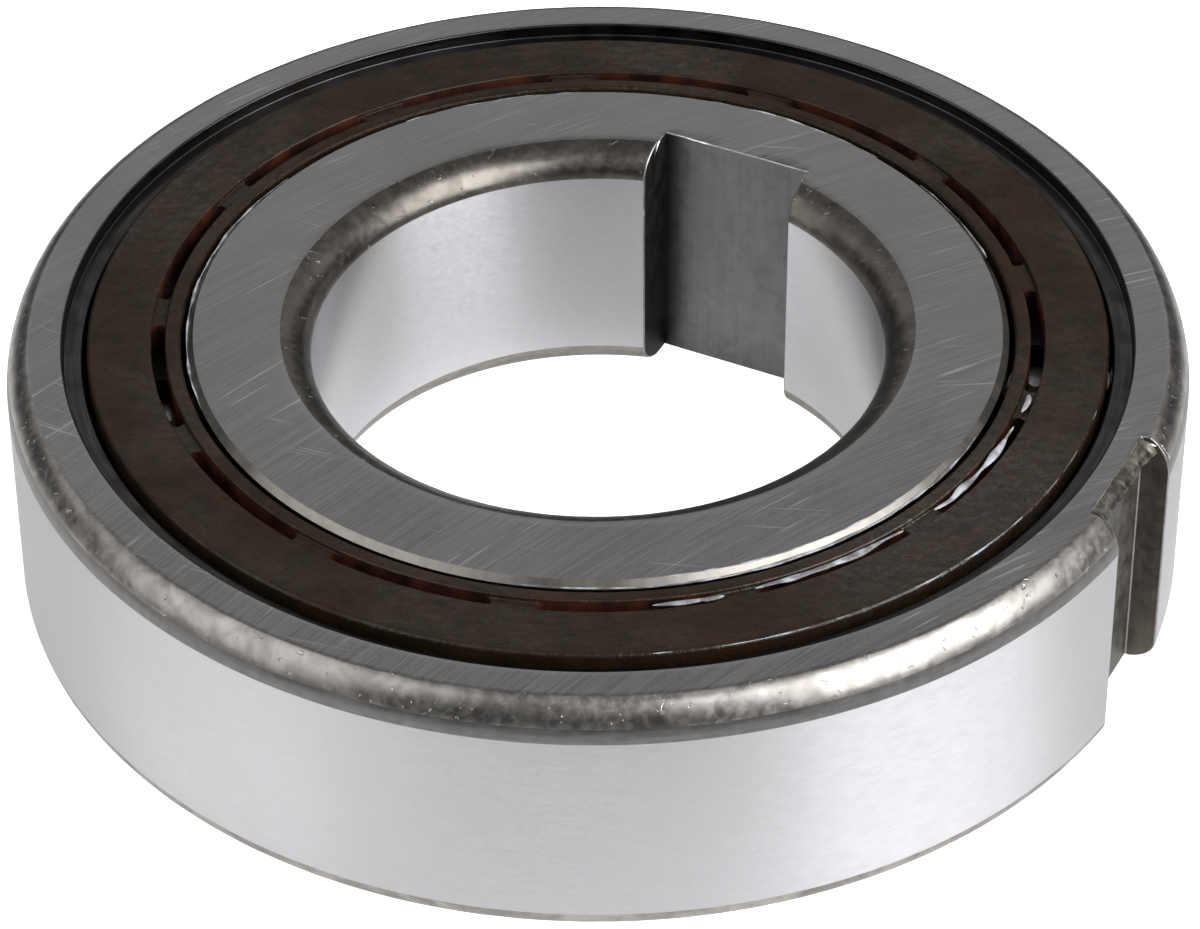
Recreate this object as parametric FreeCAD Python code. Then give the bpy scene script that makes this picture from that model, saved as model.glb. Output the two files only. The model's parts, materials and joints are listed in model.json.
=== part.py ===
import FreeCAD, Part
import math
import os
from FreeCAD import Vector

# One-way clutch ball bearing: balls and sprags take turns in one moulded cage.
# Millimetres. +Z is the bearing axis and the origin is the centre of the bearing.
# +X runs through the outer keyway, +Y through the bore keyway.

# Envelope
BORE_DIAMETER = 35.0
OUTSIDE_DIAMETER = 72.0
WIDTH = 17.0

# Keyways, cut right through along Z
BORE_KEY_WIDTH = 10.0
BORE_KEY_DEPTH = 2.4
OUTER_KEY_WIDTH = 8.0
OUTER_KEY_DEPTH = 2.1
KEY_CORNER_RADIUS = 0.25

# Rounded ring corners: the outside ones as (radial, axial) size, the bore's as a radius
UPPER_OUTSIDE_CORNER = (1.4, 2.45)
LOWER_OUTSIDE_CORNER = (1.6, 1.6)
BORE_CORNER = 1.83
TRACK_EDGE_CHAMFER = 0.4

# Rolling tracks: the sprags wedge between the two plain cylinders, and a shallow
# groove in the middle of each cylinder guides the balls
INNER_TRACK_RADIUS = 25.0
OUTER_TRACK_RADIUS = 31.3
BALL_DIAMETER = 7.144
BALL_RUNNING_CLEARANCE = 0.015
GROOVE_RADIUS = 0.52 * BALL_DIAMETER
RECESS_RADIUS = 32.5
RECESS_DEPTH = 0.85
RECESS_EDGE_CHAMFER = 0.12
TRACK_LEAD_IN = 0.3

# Cage: a core that spaces the elements and a slotted plate snapped on each end
ELEMENT_COUNT = 13
BRIDGE_ANGLE = 9.1
CAGE_INNER_RADIUS = 25.35
CAGE_OUTER_RADIUS = 31.05
CORE_HALF_HEIGHT = 6.2
PLATE_TOP = 8.35
PLATE_EDGE_RADIUS = 0.25
SLOT_INNER_RADIUS = 26.3
SLOT_OUTER_RADIUS = 27.15
SLOT_BRIDGE_DEGREES = 5.6
BRIDGE_DROP = 0.3
BALL_POCKET_CLEARANCE = 0.12
WINDOW_WIDTH = 4.9
WINDOW_END_CLEARANCE = 0.15
WINDOW_SLOT_DEGREES = 9.0
STUD_RADIUS = 0.6
STUD_HEIGHT = 1.1
STUD_PITCH_RADIUS = 29.8
STUD_CLEARANCE = 0.05

# Sprags: each cam is an arc whose centre sits beside the sprag's own axis, so that
# tilting the sprag one way makes it shorter and frees the rings
SPRAG_LENGTH = 10.0
SPRAG_HALF_WIDTH = 1.75
SPRAG_WAIST = 1.35
SPRAG_CAM_RADIUS = 3.4
SPRAG_CAM_OFFSET = 0.5
SPRAG_TRACK_CLEARANCE = 0.03

# Garter springs run through a notch in each end of every sprag
SPRING_WIRE_RADIUS = 0.4
SPRING_HEIGHT = 4.45
SPRING_CHANNEL_CLEARANCE = 0.05
SPRING_NOTCH_CLEARANCE = 0.3

# Values that follow from the ones above
BORE_RADIUS = BORE_DIAMETER / 2
OUTSIDE_RADIUS = OUTSIDE_DIAMETER / 2
HALF_WIDTH = WIDTH / 2
BALL_RADIUS = BALL_DIAMETER / 2
PITCH_RADIUS = (INNER_TRACK_RADIUS + OUTER_TRACK_RADIUS) / 2
PITCH_DEGREES = 360.0 / ELEMENT_COUNT
SPRAG_HALF_LENGTH = SPRAG_LENGTH / 2
WINDOW_HALF_HEIGHT = SPRAG_HALF_LENGTH + WINDOW_END_CLEARANCE
SPRING_CHANNEL_HALF = SPRING_WIRE_RADIUS + SPRING_CHANNEL_CLEARANCE
BALL_ANGLES = [BRIDGE_ANGLE + n * PITCH_DEGREES for n in range(ELEMENT_COUNT)]
SPRAG_ANGLES = [angle + PITCH_DEGREES / 2 for angle in BALL_ANGLES]

UP = Vector(0, 0, 1)
CENTRE = Vector(0, 0, 0)

# How far a cutter runs past the surface that it cuts
CUT_MARGIN = 1.0


def half_plane(*pairs):
    """Points in the XZ plane from (radius, height) pairs."""
    return [Vector(radius, 0, height) for radius, height in pairs]


def straight_run(points):
    return [Part.LineSegment(start, end).toShape() for start, end in zip(points, points[1:])]


def quarter_ellipse(start, apex, end):
    """A quarter ellipse that leaves start towards apex and reaches end from apex."""
    curve = Part.BezierCurve()
    curve.setPoles([start, apex, end])
    curve.setWeight(2, math.sqrt(0.5))
    return curve.toShape()


def bowed_outline(points):
    """A closed face. A point held in a tuple bows the edge between its neighbours."""
    edges = []
    start = points[0]
    bow = None
    for point in points[1:] + points[:1]:
        if isinstance(point, tuple):
            bow = point[0]
            continue
        segment = Part.Arc(start, bow, point) if bow else Part.LineSegment(start, point)
        edges.append(segment.toShape())
        start = point
        bow = None
    return Part.Face(Part.Wire(edges))


def revolved_halves(upper, lower):
    """The solid whose section is the upper edges and the mirror image of the lower ones."""
    edges = upper + [edge.mirror(CENTRE, UP) for edge in lower]
    section = Part.Face(Part.Wire(Part.sortEdges(edges)[0]))
    return section.revolve(CENTRE, UP, 360).removeSplitter()


def turned_to(shape, degrees):
    """A copy of the shape turned about the bearing axis."""
    copy = shape.copy()
    copy.rotate(CENTRE, UP, degrees)
    return copy


def annulus(inner, outer, bottom, top):
    ring = Part.makeCylinder(outer, top - bottom, Vector(0, 0, bottom))
    return ring.cut(Part.makeCylinder(inner, top - bottom, Vector(0, 0, bottom)))


def groove_edge(track_radius, side):
    """Upper half of a ball groove. side is 1 for the outer track and -1 for the inner."""
    bottom = PITCH_RADIUS + side * (BALL_RADIUS + BALL_RUNNING_CLEARANCE)
    centre = bottom - side * GROOVE_RADIUS
    reach = math.acos(side * (track_radius - centre) / GROOVE_RADIUS)
    points = half_plane(*[
        (centre + side * GROOVE_RADIUS * math.cos(turn), GROOVE_RADIUS * math.sin(turn))
        for turn in (0, reach / 2, reach)
    ])
    return Part.Arc(*points).toShape(), points[-1].z


def key_cutter(width, inner, outer):
    """A bar along Z that spans inner to outer along +X, with small rounded corners."""
    bar = Part.makeBox(outer - inner, width, WIDTH + 2 * CUT_MARGIN,
                       Vector(inner, -width / 2, -HALF_WIDTH - CUT_MARGIN))
    upright = [edge for edge in bar.Edges if edge.BoundBox.ZLength > WIDTH]
    return bar.makeFillet(KEY_CORNER_RADIUS, upright)


def outer_ring_half(corner_size):
    """Section of half the outer ring, drawn above the middle plane."""
    groove, groove_top = groove_edge(OUTER_TRACK_RADIUS, 1)
    shoulder = HALF_WIDTH - RECESS_DEPTH
    corner_radial, corner_axial = corner_size
    corner_foot = HALF_WIDTH - corner_axial
    inside_and_face = half_plane(
        (OUTER_TRACK_RADIUS, groove_top),
        (OUTER_TRACK_RADIUS, shoulder - TRACK_LEAD_IN),
        (OUTER_TRACK_RADIUS + TRACK_LEAD_IN / 2, shoulder),
        (RECESS_RADIUS, shoulder),
        (RECESS_RADIUS, HALF_WIDTH - RECESS_EDGE_CHAMFER),
        (RECESS_RADIUS + RECESS_EDGE_CHAMFER, HALF_WIDTH),
        (OUTSIDE_RADIUS - corner_radial, HALF_WIDTH),
    )
    apex, foot, middle = half_plane((OUTSIDE_RADIUS, HALF_WIDTH), (OUTSIDE_RADIUS, corner_foot),
                                    (OUTSIDE_RADIUS, 0))
    corner = quarter_ellipse(inside_and_face[-1], apex, foot)
    return [groove] + straight_run(inside_and_face) + [corner] + straight_run([foot, middle])


def outer_ring():
    blank = revolved_halves(outer_ring_half(UPPER_OUTSIDE_CORNER),
                            outer_ring_half(LOWER_OUTSIDE_CORNER))
    floor = OUTSIDE_RADIUS - OUTER_KEY_DEPTH
    cutter = key_cutter(OUTER_KEY_WIDTH, floor, OUTSIDE_RADIUS + CUT_MARGIN)
    return blank.cut(cutter)


def inner_ring():
    groove, groove_top = groove_edge(INNER_TRACK_RADIUS, -1)
    outside_and_face = half_plane(
        (INNER_TRACK_RADIUS, groove_top),
        (INNER_TRACK_RADIUS, HALF_WIDTH - TRACK_EDGE_CHAMFER),
        (INNER_TRACK_RADIUS - TRACK_EDGE_CHAMFER, HALF_WIDTH),
        (BORE_RADIUS + BORE_CORNER, HALF_WIDTH),
    )
    apex, foot, middle = half_plane((BORE_RADIUS, HALF_WIDTH),
                                    (BORE_RADIUS, HALF_WIDTH - BORE_CORNER), (BORE_RADIUS, 0))
    corner = quarter_ellipse(outside_and_face[-1], apex, foot)
    half = [groove] + straight_run(outside_and_face) + [corner] + straight_run([foot, middle])
    floor = BORE_RADIUS + BORE_KEY_DEPTH
    cutter = key_cutter(BORE_KEY_WIDTH, BORE_RADIUS - 2 * CUT_MARGIN, floor)
    return revolved_halves(half, half).cut(turned_to(cutter, 90))


def ball(angle):
    centre = Vector(PITCH_RADIUS, 0, 0)
    return turned_to(Part.makeSphere(BALL_RADIUS, centre), angle)


def sprag_point(across, out, height=-SPRAG_HALF_LENGTH):
    """A point beside the sprag's own axis, which lies on +X at the pitch radius."""
    return Vector(PITCH_RADIUS + out, across, height)


def sprag(angle):
    half_height = (OUTER_TRACK_RADIUS - INNER_TRACK_RADIUS) / 2 - SPRAG_TRACK_CLEARANCE
    cam_centre = half_height - SPRAG_CAM_RADIUS
    near = cam_height(cam_centre, SPRAG_HALF_WIDTH - SPRAG_CAM_OFFSET)
    far = cam_height(cam_centre, SPRAG_HALF_WIDTH + SPRAG_CAM_OFFSET)
    outline = bowed_outline([
        sprag_point(SPRAG_HALF_WIDTH, near),
        (sprag_point(SPRAG_CAM_OFFSET, half_height),),
        sprag_point(-SPRAG_HALF_WIDTH, far),
        (sprag_point(-SPRAG_WAIST, 0),),
        sprag_point(-SPRAG_HALF_WIDTH, -near),
        (sprag_point(-SPRAG_CAM_OFFSET, -half_height),),
        sprag_point(SPRAG_HALF_WIDTH, -far),
        (sprag_point(SPRAG_WAIST, 0),),
    ])
    body = outline.extrude(Vector(0, 0, SPRAG_LENGTH))
    return turned_to(body.cut([spring_notch(1), spring_notch(-1)]), angle)


def cam_height(cam_centre, across):
    return cam_centre + math.sqrt(SPRAG_CAM_RADIUS ** 2 - across ** 2)


def spring_notch(side):
    """Cutter for the notch in one end of a sprag."""
    half_out = SPRING_WIRE_RADIUS + SPRING_NOTCH_CLEARANCE
    half_across = SPRAG_HALF_WIDTH + CUT_MARGIN
    floor = SPRING_HEIGHT - SPRING_CHANNEL_HALF
    height = SPRAG_HALF_LENGTH + CUT_MARGIN - floor
    corner = sprag_point(-half_across, -half_out, floor if side > 0 else -floor - height)
    return Part.makeBox(2 * half_out, 2 * half_across, height, corner)


def garter_spring(side):
    return Part.makeTorus(PITCH_RADIUS, SPRING_WIRE_RADIUS, Vector(0, 0, side * SPRING_HEIGHT))


def arc_slot(degrees, bottom, top):
    """A slot that follows a circle about the axis, centred on +X, with round ends."""
    middle = (SLOT_INNER_RADIUS + SLOT_OUTER_RADIUS) / 2
    half_gap = (SLOT_OUTER_RADIUS - SLOT_INNER_RADIUS) / 2
    end = math.radians(degrees / 2) - half_gap / middle

    def at(radius, turn):
        return Vector(radius * math.cos(turn), radius * math.sin(turn), bottom)

    cap = half_gap / middle
    outline = bowed_outline([
        at(SLOT_INNER_RADIUS, -end),
        (at(SLOT_INNER_RADIUS, 0),),
        at(SLOT_INNER_RADIUS, end),
        (at(middle, end + cap),),
        at(SLOT_OUTER_RADIUS, end),
        (at(SLOT_OUTER_RADIUS, 0),),
        at(SLOT_OUTER_RADIUS, -end),
        (at(middle, -end - cap),),
    ])
    return outline.extrude(Vector(0, 0, top - bottom))


def stud(angle, radius, bottom, top):
    centre = Vector(STUD_PITCH_RADIUS, 0, bottom)
    return turned_to(Part.makeCylinder(radius, top - bottom, centre), angle)


def ball_pocket(angle):
    pocket = Part.makeSphere(BALL_RADIUS + BALL_POCKET_CLEARANCE)
    pocket.rotate(CENTRE, Vector(0, 1, 0), 90)
    pocket.translate(Vector(PITCH_RADIUS, 0, 0))
    return turned_to(pocket, angle)


def spring_channels():
    inner = PITCH_RADIUS - SPRING_CHANNEL_HALF
    outer = PITCH_RADIUS + SPRING_CHANNEL_HALF
    floor = SPRING_HEIGHT - SPRING_CHANNEL_HALF
    end = CORE_HALF_HEIGHT + CUT_MARGIN
    return [annulus(inner, outer, floor, end), annulus(inner, outer, -end, -floor)]


def stud_holes():
    radius = STUD_RADIUS + STUD_CLEARANCE
    floor = CORE_HALF_HEIGHT - STUD_HEIGHT - STUD_CLEARANCE
    end = CORE_HALF_HEIGHT + CUT_MARGIN
    spans = [(floor, end), (-end, -floor)]
    return [stud(angle, radius, bottom, top) for angle in BALL_ANGLES for bottom, top in spans]


def window_slots():
    end = CORE_HALF_HEIGHT + CUT_MARGIN
    spans = [(WINDOW_HALF_HEIGHT - CUT_MARGIN, end), (-end, CUT_MARGIN - WINDOW_HALF_HEIGHT)]
    slots = [arc_slot(WINDOW_SLOT_DEGREES, bottom, top) for bottom, top in spans]
    return [turned_to(slot, angle) for angle in SPRAG_ANGLES for slot in slots]


def sprag_windows():
    reach = CAGE_OUTER_RADIUS - PITCH_RADIUS + CUT_MARGIN
    corner = Vector(PITCH_RADIUS - reach, -WINDOW_WIDTH / 2, -WINDOW_HALF_HEIGHT)
    window = Part.makeBox(2 * reach, WINDOW_WIDTH, 2 * WINDOW_HALF_HEIGHT, corner)
    return [turned_to(window, angle) for angle in SPRAG_ANGLES]


def cage_core():
    core = annulus(CAGE_INNER_RADIUS, CAGE_OUTER_RADIUS, -CORE_HALF_HEIGHT, CORE_HALF_HEIGHT)
    pockets = [ball_pocket(angle) for angle in BALL_ANGLES]
    for cutters in (spring_channels(), sprag_windows(), window_slots(), stud_holes(), pockets):
        core = core.cut(cutters)
    return core


def cage_plate_upper():
    plate = annulus(CAGE_INNER_RADIUS, CAGE_OUTER_RADIUS, CORE_HALF_HEIGHT, PLATE_TOP)
    middle = (CORE_HALF_HEIGHT + PLATE_TOP) / 2
    rims = [edge for edge in plate.Edges if edge.BoundBox.ZMin > middle]
    plate = plate.makeFillet(PLATE_EDGE_RADIUS, rims)
    end = PLATE_TOP + CUT_MARGIN
    plate = plate.cut(annulus(SLOT_INNER_RADIUS, SLOT_OUTER_RADIUS, PLATE_TOP - BRIDGE_DROP, end))
    slot_degrees = PITCH_DEGREES - SLOT_BRIDGE_DEGREES
    slot = arc_slot(slot_degrees, CORE_HALF_HEIGHT - CUT_MARGIN, end)
    plate = plate.cut([turned_to(slot, angle) for angle in SPRAG_ANGLES])
    foot = CORE_HALF_HEIGHT - STUD_HEIGHT
    studs = [stud(angle, STUD_RADIUS, foot, middle) for angle in BALL_ANGLES]
    return plate.fuse(studs).removeSplitter()


def cage_plate_lower():
    return cage_plate_upper().mirror(CENTRE, UP)


def save(name, shape):
    shape.exportStep(os.path.join("parts", name + ".step"))


def main():
    os.makedirs("parts", exist_ok=True)
    save("outer_ring", outer_ring())
    save("inner_ring", inner_ring())
    save("cage_core", cage_core())
    save("cage_plate_upper", cage_plate_upper())
    save("cage_plate_lower", cage_plate_lower())
    save("garter_spring_upper", garter_spring(1))
    save("garter_spring_lower", garter_spring(-1))
    for number, angle in enumerate(BALL_ANGLES, start=1):
        save(f"ball_{number:02d}", ball(angle))
    for number, angle in enumerate(SPRAG_ANGLES, start=1):
        save(f"sprag_{number:02d}", sprag(angle))


main()
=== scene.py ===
import json
import math

import bmesh
import bpy
from mathutils import Matrix, Vector, noise


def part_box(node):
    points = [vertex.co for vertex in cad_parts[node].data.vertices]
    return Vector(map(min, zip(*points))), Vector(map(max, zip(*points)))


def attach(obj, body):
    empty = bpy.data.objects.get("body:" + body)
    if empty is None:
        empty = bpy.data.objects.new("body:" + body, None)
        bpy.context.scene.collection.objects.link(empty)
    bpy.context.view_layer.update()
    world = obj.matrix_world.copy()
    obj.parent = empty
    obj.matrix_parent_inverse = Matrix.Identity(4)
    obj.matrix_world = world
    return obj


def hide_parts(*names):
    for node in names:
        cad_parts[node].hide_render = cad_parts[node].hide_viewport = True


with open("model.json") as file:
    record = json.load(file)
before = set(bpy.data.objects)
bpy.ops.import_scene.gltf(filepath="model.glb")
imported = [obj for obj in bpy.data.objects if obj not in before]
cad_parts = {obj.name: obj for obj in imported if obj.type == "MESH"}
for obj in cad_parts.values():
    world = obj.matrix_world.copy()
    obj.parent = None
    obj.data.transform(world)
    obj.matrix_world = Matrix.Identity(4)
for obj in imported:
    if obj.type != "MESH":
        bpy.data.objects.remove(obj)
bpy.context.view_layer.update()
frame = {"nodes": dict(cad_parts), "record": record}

MM = 0.001

# Sizes taken from the frame, in millimetres
MOUNTS = {mount["name"]: mount for mount in frame["record"]["mounts"]}
BORE_RADIUS = MOUNTS["bore"]["dims"]["r_mm"]
BORE_STRAIGHT = MOUNTS["bore"]["dims"]["length_mm"] / 2
OUTSIDE_RADIUS = MOUNTS["outside"]["dims"]["r_mm"]
OUTSIDE_MIDDLE = MOUNTS["outside"]["pos_m"][2] / MM
OUTSIDE_HALF_LENGTH = MOUNTS["outside"]["dims"]["length_mm"] / 2
BORE_KEY_FLOOR = MOUNTS["bore_keyway"]["pos_m"][1] / MM
OUTER_KEY_FLOOR = MOUNTS["outer_keyway"]["pos_m"][0] / MM
HALF_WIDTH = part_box("outer_ring")[1].z / MM
INNER_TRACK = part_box("inner_ring")[1].x / MM
CORE_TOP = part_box("cage_core")[1].z / MM
PLATE_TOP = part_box("cage_plate_upper")[1].z / MM
PLATE_OUTER = -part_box("cage_plate_upper")[0].x / MM
SPRING_LOW, SPRING_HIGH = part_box("garter_spring_upper")
SPRING_RADIUS = (SPRING_HIGH.z - SPRING_LOW.z) / 2 / MM
SPRING_HEIGHT = (SPRING_HIGH.z + SPRING_LOW.z) / 2 / MM
BALL_LOW, BALL_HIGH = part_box("ball_01")
BALL_CENTRE = (BALL_LOW + BALL_HIGH) / 2
BALL_RADIUS = (BALL_HIGH.z - BALL_LOW.z) / 2 / MM
PITCH_RADIUS = math.hypot(BALL_CENTRE.x, BALL_CENTRE.y) / MM
BRIDGE_ANGLE = math.atan2(BALL_CENTRE.y, BALL_CENTRE.x)
ELEMENT_COUNT = sum(name.startswith("ball_") for name in frame["nodes"])
PITCH_ANGLE = 2 * math.pi / ELEMENT_COUNT
OUTER_TRACK = 2 * PITCH_RADIUS - INNER_TRACK

# Details of the rings, in millimetres and degrees
BORE_KEY_HALF = 5.0
OUTER_KEY_HALF = 4.0
UPPER_OUTSIDE_CORNER = (1.4, HALF_WIDTH - OUTSIDE_MIDDLE - OUTSIDE_HALF_LENGTH)
LOWER_OUTSIDE_CORNER = (1.6, HALF_WIDTH + OUTSIDE_MIDDLE - OUTSIDE_HALF_LENGTH)
BORE_CORNER = (HALF_WIDTH - BORE_STRAIGHT, HALF_WIDTH - BORE_STRAIGHT)
LAND_DEGREES = 22
CORNER_START_DEGREES = 70
TRACK_CHAMFER = 0.4
TRACK_LEAD = 0.2
RECESS_RADIUS = 32.5
RECESS_DEPTH = 0.85
GROOVE_CLEARANCE = 0.015
GROOVE_CONFORMITY = 0.52
GROOVE_RADIUS = GROOVE_CONFORMITY * 2 * BALL_RADIUS
SOFT_EDGE = 0.12
KEY_EDGE_ROUND = 0.1
KEY_EDGE_DEGREES = 40
DENT_DEPTH = 0.009
DENT_SIZE = 0.9

# Details of the cage and its springs, in millimetres and degrees
PLATE_INNER = 25.35
PLATE_EDGE = 0.28
SLOT_INNER = 26.3
SLOT_OUTER = 27.15
SLOT_MIDDLE = (SLOT_INNER + SLOT_OUTER) / 2
SLOT_EDGE = 0.14
SLOT_BRIDGE_DEGREES = 5.6
BRIDGE_DROP = 0.3
WIRE_RADIUS = 0.1
COIL_TURNS = 340

# Fineness of the meshes
SWEEP_STEPS = 540
KEY_STEPS = 24
SLOT_STEPS = 40
SLOT_CAP_STEPS = 12
SLOT_LIP_STEPS = 5
PLATE_STEPS_PER_SLOT = 44
COIL_STEPS_PER_TURN = 10
WIRE_SIDES = 5
BEAD_SIDES = 10
ROUND_BEAD_SPACING = 0.25
STRAIGHT_BEAD_SPACING = 0.12
BURR_STEPS = 120

# Edges that turn by more than this stay sharp
RING_SHARP_DEGREES = 38
THIN_SHARP_DEGREES = 50

# Zones of a ring's surface, in the order of its materials
ZONES = ("face", "corner", "land", "cylinder", "recess", "track", "key_floor", "key_wall")

# Centres of the arcs that the grinding wheel left on the faces, in millimetres
GRIND_CENTRES = ((105.0, -54.0), (125.0, 18.0), (-20.0, 80.0))

# Where the grease on the cage is thickest, in millimetres
WET_CENTRE = (27.5, -8.0, 8.0)

# The floor's glow, by place, and as the camera sees it
FLOOR_GLOW = 0.34
FLOOR_GLOW_RIGHT = 0.38
FLOOR_GLOW_LEFT = 0.5
FLOOR_GLOW_IN_BORE = 0.26
FLOOR_GLOW_AT_RIM = 0.75
FLOOR_GLOW_SEEN = 1.2
FLOOR_SHARE_FAR_OFF = 0.06

# The floor's sizes, in millimetres
FLOOR_HALF_SIDE = 1600.0
FLOOR_GAP = 0.02
FLOOR_BRIGHT_REACH = 56.0
FLOOR_DIM_REACH = 120.0
FLOOR_LEFT_SPAN = (-34.0, -6.0)
FLOOR_RIGHT_SPAN = (5.0, 36.0)


# ---------------------------------------------------------------- node helpers

class Shader:
    """A small builder for node materials. Sizes given to it are in millimetres."""

    def __init__(self, name):
        self.material = bpy.data.materials.new(name)
        self.material.use_nodes = True
        self.tree = self.material.node_tree
        self.surface = self.tree.nodes["Principled BSDF"]
        coordinates = self.add("ShaderNodeTexCoord").outputs["Object"]
        self.place = self.vector("SCALE", coordinates, scale=1 / MM)

    def add(self, kind, **settings):
        made = self.tree.nodes.new(kind)
        for key, value in settings.items():
            setattr(made, key, value)
        return made

    def put(self, socket, value):
        if isinstance(value, bpy.types.NodeSocket):
            self.tree.links.new(value, socket)
        elif value is not None:
            socket.default_value = value

    def maths(self, operation, first, second=None, third=None):
        made = self.add("ShaderNodeMath", operation=operation)
        for socket, value in zip(made.inputs, (first, second, third)):
            self.put(socket, value)
        return made.outputs[0]

    def vector(self, operation, first, second=None, scale=None):
        made = self.add("ShaderNodeVectorMath", operation=operation)
        self.put(made.inputs[0], first)
        self.put(made.inputs[1], second)
        if scale is not None:
            self.put(made.inputs["Scale"], scale)
        return made.outputs["Value" if operation in ("LENGTH", "DOT_PRODUCT") else "Vector"]

    def parts(self, value):
        split = self.add("ShaderNodeSeparateXYZ")
        self.put(split.inputs[0], value)
        return split.outputs

    def join(self, x, y, z):
        made = self.add("ShaderNodeCombineXYZ")
        for socket, value in zip(made.inputs, (x, y, z)):
            self.put(socket, value)
        return made.outputs[0]

    def noise(self, place, scale, detail=3.0, roughness=0.5, distortion=0.0):
        made = self.add("ShaderNodeTexNoise")
        self.put(made.inputs["Vector"], place)
        made.inputs["Scale"].default_value = scale
        made.inputs["Detail"].default_value = detail
        made.inputs["Roughness"].default_value = roughness
        made.inputs["Distortion"].default_value = distortion
        return made.outputs["Fac"]

    def spread(self, value, low, high, to_low=0.0, to_high=1.0):
        """Runs smoothly from to_low, where the value is low, to to_high, where it is high."""
        made = self.add("ShaderNodeMapRange", interpolation_type="SMOOTHSTEP")
        for socket, number in zip(made.inputs, (value, low, high, to_low, to_high)):
            self.put(socket, number)
        return made.outputs[0]

    def blend(self, amount, first, second):
        made = self.add("ShaderNodeMix", data_type="RGBA")
        self.put(made.inputs["Factor"], amount)
        self.put(made.inputs["A"], first)
        self.put(made.inputs["B"], second)
        return made.outputs["Result"]

    def tint(self, value, dark, light):
        return self.blend(value, (*dark, 1), (*light, 1))

    def bump(self, height, distance, strength=1.0, below=None):
        """A normal for a relief, laid over the one below."""
        made = self.add("ShaderNodeBump")
        self.put(made.inputs["Height"], height)
        made.inputs["Distance"].default_value = distance * MM
        made.inputs["Strength"].default_value = strength
        self.put(made.inputs["Normal"], below)
        return made.outputs[0]

    def around(self, along, across):
        """Coordinates whose noise is drawn out round the bearing axis, without a seam."""
        x, y, z = self.parts(self.place)
        flat = self.join(x, y, 0.0)
        radius = self.vector("LENGTH", flat)
        heading = self.vector("NORMALIZE", flat)
        x, y, _ = self.parts(self.vector("SCALE", heading, scale=along))
        level = self.maths("MULTIPLY", self.maths("ADD", radius, z), across)
        return self.join(x, y, level)

    def swirl(self, centre, along, across):
        """Coordinates whose noise is drawn out in arcs about a centre in the face's plane."""
        x, y, z = self.parts(self.vector("SUBTRACT", self.place, (*centre, 0.0)))
        reach = self.vector("LENGTH", self.join(x, y, 0.0))
        turn = self.maths("ARCTAN2", y, x)
        arc_length = self.maths("MULTIPLY", turn, along * math.hypot(*centre))
        return self.join(arc_length, self.maths("MULTIPLY", reach, across), z)

    def finish(self, **values):
        for key, value in values.items():
            self.put(self.surface.inputs[key.replace("_", " ")], value)
        return self.material


# ---------------------------------------------------------------- materials

def ground_face():
    """Face of a ring: ground in long arcs, with a few stray scratches."""
    s = Shader("ground face")
    arcs = s.noise(s.swirl(GRIND_CENTRES[0], 0.1, 7.0), 1.0, 4.0, 0.75)
    crossing = s.noise(s.swirl(GRIND_CENTRES[1], 0.12, 7.0), 1.0, 4.0, 0.75)
    patches = s.spread(s.noise(s.place, 0.14, 2.0), 0.45, 0.6)
    stray = s.spread(s.noise(s.swirl(GRIND_CENTRES[0], 0.1, 4.2), 1.0, 1.0), 0.66, 0.72)
    stray_across = s.spread(s.noise(s.swirl(GRIND_CENTRES[2], 0.16, 5.0), 1.0, 1.0), 0.7, 0.74)
    stray = s.maths("MULTIPLY", s.maths("MAXIMUM", stray, stray_across), patches)
    cloud = s.noise(s.place, 0.12, 2.0)
    lines = s.maths("MULTIPLY_ADD", crossing, 0.15, s.maths("MULTIPLY", arcs, 0.85))
    value = s.maths("MULTIPLY_ADD", cloud, 0.15, s.maths("MULTIPLY", lines, 0.85))
    colour = s.tint(s.spread(value, 0.38, 0.62), (0.265, 0.257, 0.265), (0.38, 0.368, 0.377))
    colour = s.blend(s.maths("MULTIPLY", stray, 0.55), colour, (0.75, 0.73, 0.73, 1))
    return s.finish(
        Base_Color=colour,
        Metallic=1.0,
        Roughness=s.spread(lines, 0.35, 0.65, 0.28, 0.4),
        Normal=s.bump(stray, -0.008, 0.5, s.bump(lines, 0.005, 0.5)),
    )


def turned_corner(name="turned corner", dark=(0.25, 0.236, 0.222), light=(0.42, 0.4, 0.38),
                  dents=0.018):
    """Rounded corner of a ring: left dull by turning and hardening, and knocked about."""
    s = Shader(name)
    lines = s.noise(s.around(9.0, 5.0), 1.0, 3.0, 0.6)
    grain = s.noise(s.place, 2.2, 3.0, 0.55, 0.4)
    hollows = s.noise(s.place, 0.5, 3.0, 0.5, 0.8)
    nicks = s.spread(s.noise(s.place, 1.2, 1.0, 0.5, 1.8), 0.7, 0.76)
    value = s.maths("MULTIPLY_ADD", hollows, 0.75, s.maths("MULTIPLY", grain, 0.25))
    colour = s.tint(s.spread(value, 0.35, 0.65), dark, light)
    colour = s.blend(s.maths("MULTIPLY", nicks, 0.3), colour, (0.7, 0.69, 0.66, 1))
    rough = s.bump(grain, 0.0035, 0.6, s.bump(hollows, dents, 0.6, s.bump(lines, 0.004, 0.6)))
    return s.finish(
        Base_Color=colour,
        Metallic=1.0,
        Roughness=s.spread(grain, 0.3, 0.75, 0.29, 0.39),
        Normal=s.bump(nicks, -0.05, 0.7, rough),
    )


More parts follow.
